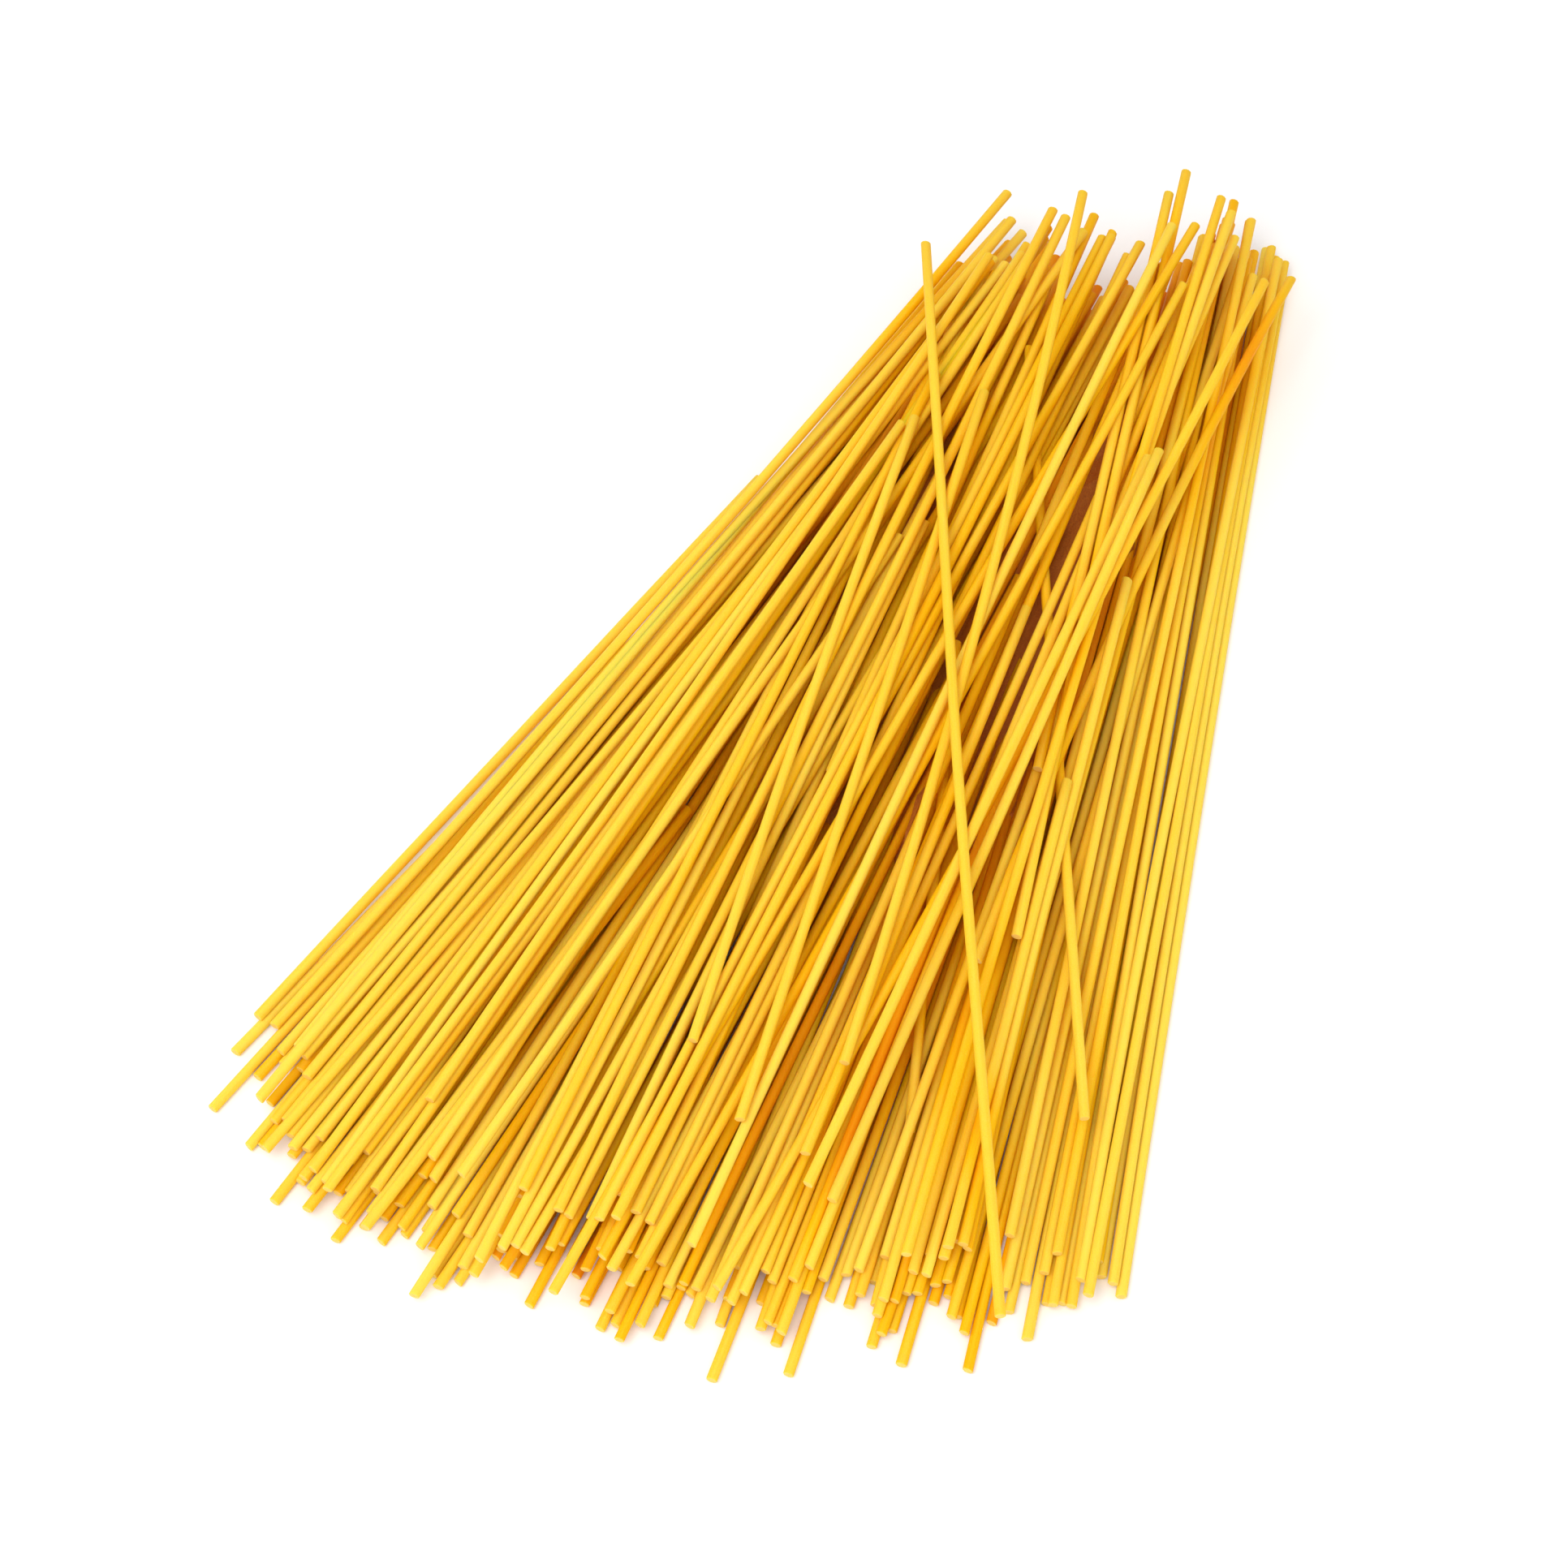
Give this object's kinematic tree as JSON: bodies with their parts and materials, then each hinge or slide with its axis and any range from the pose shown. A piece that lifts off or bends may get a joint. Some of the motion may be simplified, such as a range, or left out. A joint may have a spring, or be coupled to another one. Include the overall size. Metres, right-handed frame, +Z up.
{
  "type": "bundle of dry spaghetti",
  "caption": "Fanned heap of long dry pasta rods lying flat: narrow and deep at one end, spread wide and thin at the other, one loose rod across the top.",
  "frame": {"origin": "on the table surface, under the middle of the bundle's outline", "axes": "+Y along the middle of the fan, towards its narrow, deep end; +Z up; -Y is the wide spread end"},
  "size_m": [0.1849, 0.3106, 0.039],
  "materials": {
    "pasta": null
  },
  "bodies": {
    "root": {"spaghetti_bundle": "pasta"}
  },
  "joints": []
}
